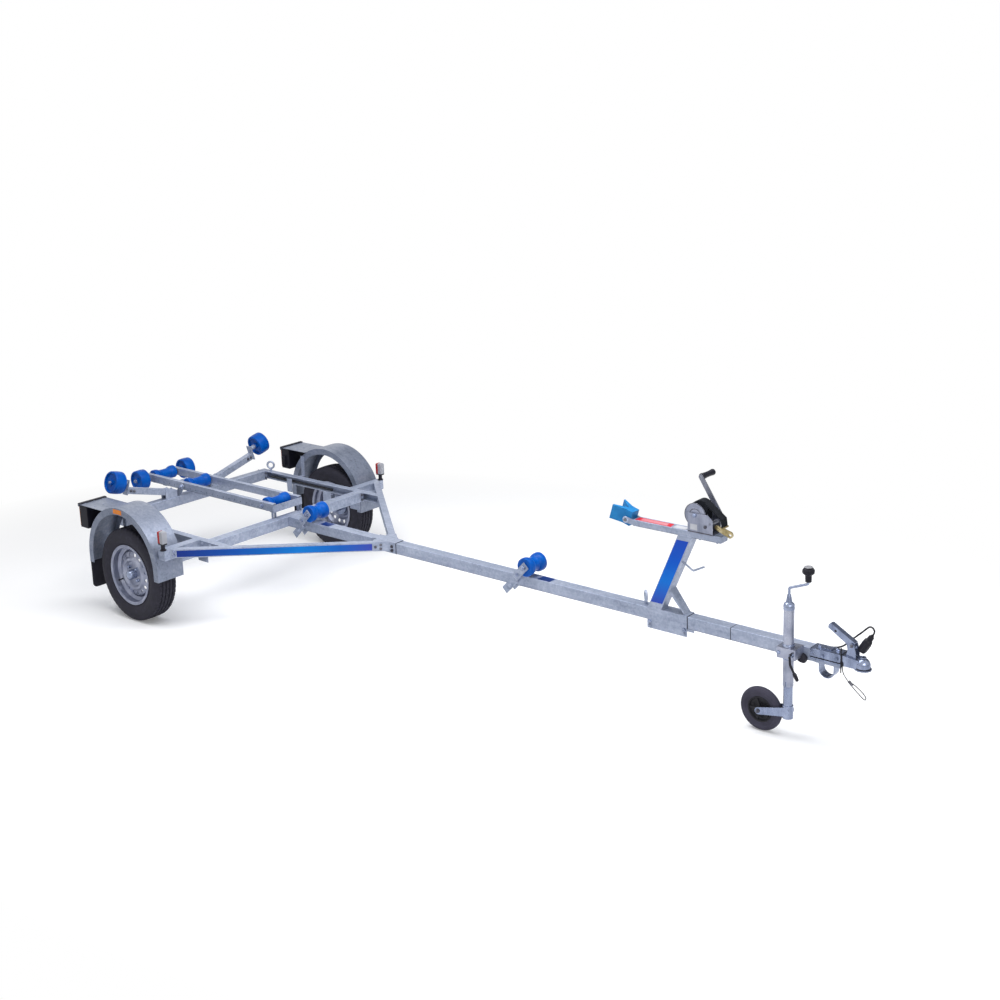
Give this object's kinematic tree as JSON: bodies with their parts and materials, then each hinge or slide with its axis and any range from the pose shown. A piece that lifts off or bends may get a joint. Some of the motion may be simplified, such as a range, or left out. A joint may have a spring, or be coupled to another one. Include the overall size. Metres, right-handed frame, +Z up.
{
  "type": "boat trailer",
  "caption": "Single-axle boat trailer with a galvanised A-frame, keel rollers, tilting keel cradle, side wheels, winch post, jockey wheel and ball coupling.",
  "frame": {"origin": "on the ground, on the centre line, half way along the trailer from the tail wheels to the coupling nose", "axes": "+X forward to the coupling, +Y to the left side, +Z up"},
  "size_m": [5.1092, 1.792, 1.1252],
  "materials": {
    "galvanised_steel": "hot-dip galvanised, mottled and semi matt",
    "zinc_plated_steel": "bright zinc plate",
    "tyre_rubber": "matt road tyre",
    "rim_silver": "silver wheel paint",
    "dark_hub": "dark cast hub",
    "red_lens": "moulded red lens",
    "black_rubber": "black rubber",
    "black_plastic": "grained black plastic",
    "clear_lens": "clear ribbed lens",
    "blue_plastic": "royal blue elastomer, semi-gloss",
    "bow_blue": "sky blue elastomer, semi-gloss",
    "black_webbing": "woven polyester webbing",
    "yellow_zinc": "yellow chromated zinc",
    "cable_black": "black cable sheath",
    "wire_steel": "coated steel wire",
    "jockey_rubber": "dark grey solid rubber",
    "jockey_plastic": "dark grey moulded wheel"
  },
  "bodies": {
    "frame": {"trailing_arms": "galvanised_steel", "axle_beam": "galvanised_steel", "side_rail_left": "galvanised_steel", "side_rail_right": "galvanised_steel", "crossbars": "galvanised_steel", "drawbar_rear": "galvanised_steel", "drawbar_front": "galvanised_steel", "outriggers": "galvanised_steel", "diagonal_left": "galvanised_steel", "diagonal_right": "galvanised_steel", "collar": "galvanised_steel", "mudguard_left": "galvanised_steel", "mudguard_right": "galvanised_steel", "rear_lenses": "red_lens", "mud_flaps": "black_rubber", "lamp_bodies": "black_plastic", "marker_lenses": "clear_lens", "roller_brackets": "galvanised_steel", "side_arm_left": "galvanised_steel", "side_arm_right": "galvanised_steel", "frame_brackets": "galvanised_steel", "winch_post": "galvanised_steel", "lashing_eyes": "galvanised_steel", "winch_arm": "galvanised_steel", "bow_stop": "bow_blue", "winch_frame": "zinc_plated_steel", "winch_strap": "black_webbing", "strap_hook": "yellow_zinc", "jack_tube": "zinc_plated_steel", "jack_clamp": "zinc_plated_steel", "jack_knobs": "black_plastic", "handles": "zinc_plated_steel", "coupling": "zinc_plated_steel", "lead": "cable_black", "loom": "cable_black", "lead_fittings": "black_plastic", "safety_wire": "wire_steel"},
    "wheel_left": {"tyre_left": "tyre_rubber", "rim_left": "rim_silver", "hub_left": "dark_hub"},
    "wheel_right": {"tyre_right": "tyre_rubber", "rim_right": "rim_silver", "hub_right": "dark_hub"},
    "cradle": {"cradle_frame": "galvanised_steel", "cradle_pins": "zinc_plated_steel"},
    "cradle_roller_tail": {"cradle_roller_tail": "blue_plastic"},
    "cradle_roller_middle": {"cradle_roller_middle": "blue_plastic"},
    "cradle_roller_front": {"cradle_roller_front": "blue_plastic"},
    "cradle_wheel_left": {"cradle_wheel_left": "blue_plastic"},
    "cradle_wheel_right": {"cradle_wheel_right": "blue_plastic"},
    "side_wheel_left": {"side_wheel_left": "blue_plastic"},
    "side_wheel_right": {"side_wheel_right": "blue_plastic"},
    "keel_roller_rear": {"keel_roller_rear": "blue_plastic"},
    "keel_roller_front": {"keel_roller_front": "blue_plastic"},
    "winch_crank": {"winch_crank": "zinc_plated_steel", "crank_grip": "black_plastic"},
    "jack_nut": {"jack_nut": "zinc_plated_steel"},
    "jack_leg": {"jack_leg": "zinc_plated_steel"},
    "jockey_wheel": {"jockey_tyre": "jockey_rubber", "jockey_hub": "jockey_plastic"}
  },
  "joints": [
    {"name": "wheel_left_spin", "type": "hinge", "parent": "frame", "child": "wheel_left", "pos_m": [-1.68097, 0.805, 0.281], "axis": [0, 1, 0], "continuous": true},
    {"name": "wheel_right_spin", "type": "hinge", "parent": "frame", "child": "wheel_right", "pos_m": [-1.68097, -0.805, 0.281], "axis": [0, 1, 0], "continuous": true},
    {"name": "cradle_tilt", "type": "hinge", "parent": "frame", "child": "cradle", "pos_m": [-2.12157, 0, 0.57719], "axis": [0, -1, 0], "range_deg": [0, 15]},
    {"name": "cradle_roller_tail_spin", "type": "hinge", "parent": "cradle", "child": "cradle_roller_tail", "pos_m": [-2.48051, 0, 0.58382], "axis": [0, 1, 0], "continuous": true},
    {"name": "cradle_roller_middle_spin", "type": "hinge", "parent": "frame", "child": "cradle_roller_middle", "pos_m": [-2.12157, 0, 0.57719], "axis": [0, 1, 0], "continuous": true},
    {"name": "cradle_roller_front_spin", "type": "hinge", "parent": "cradle", "child": "cradle_roller_front", "pos_m": [-1.3467, 0, 0.56288], "axis": [0, 1, 0], "continuous": true},
    {"name": "cradle_wheel_left_spin", "type": "hinge", "parent": "cradle", "child": "cradle_wheel_left", "pos_m": [-2.48051, 0.181, 0.58382], "axis": [0, 1, 0], "continuous": true},
    {"name": "cradle_wheel_right_spin", "type": "hinge", "parent": "cradle", "child": "cradle_wheel_right", "pos_m": [-2.48051, -0.181, 0.58382], "axis": [0, 1, 0], "continuous": true},
    {"name": "side_wheel_left_spin", "type": "hinge", "parent": "frame", "child": "side_wheel_left", "pos_m": [-2.17326, 0.5723, 0.70277], "axis": [0.0049, 0.9636, 0.2672], "continuous": true},
    {"name": "side_wheel_right_spin", "type": "hinge", "parent": "frame", "child": "side_wheel_right", "pos_m": [-2.17326, -0.5723, 0.70277], "axis": [-0.0049, 0.9636, -0.2672], "continuous": true},
    {"name": "keel_roller_rear_spin", "type": "hinge", "parent": "frame", "child": "keel_roller_rear", "pos_m": [-0.98987, 0, 0.55028], "axis": [0, 1, 0], "continuous": true},
    {"name": "keel_roller_front_spin", "type": "hinge", "parent": "frame", "child": "keel_roller_front", "pos_m": [0.66384, 0, 0.51973], "axis": [0, 1, 0], "continuous": true},
    {"name": "winch_crank_turn", "type": "hinge", "parent": "frame", "child": "winch_crank", "pos_m": [1.76549, 0.072, 0.92346], "axis": [0, 1, 0], "continuous": true},
    {"name": "jack_slide", "type": "slide", "parent": "frame", "child": "jack_nut", "axis": [0.0185, 0, 0.9998], "range_m": [-0.1, 0.06]},
    {"name": "jack_swivel", "type": "hinge", "parent": "jack_nut", "child": "jack_leg", "pos_m": [2.19316, -0.0845, 0.41447], "axis": [0.0185, 0, 0.9998], "continuous": true},
    {"name": "jockey_wheel_spin", "type": "hinge", "parent": "jack_leg", "child": "jockey_wheel", "pos_m": [2.05342, -0.0845, 0.105], "axis": [0, 1, 0], "continuous": true}
  ]
}
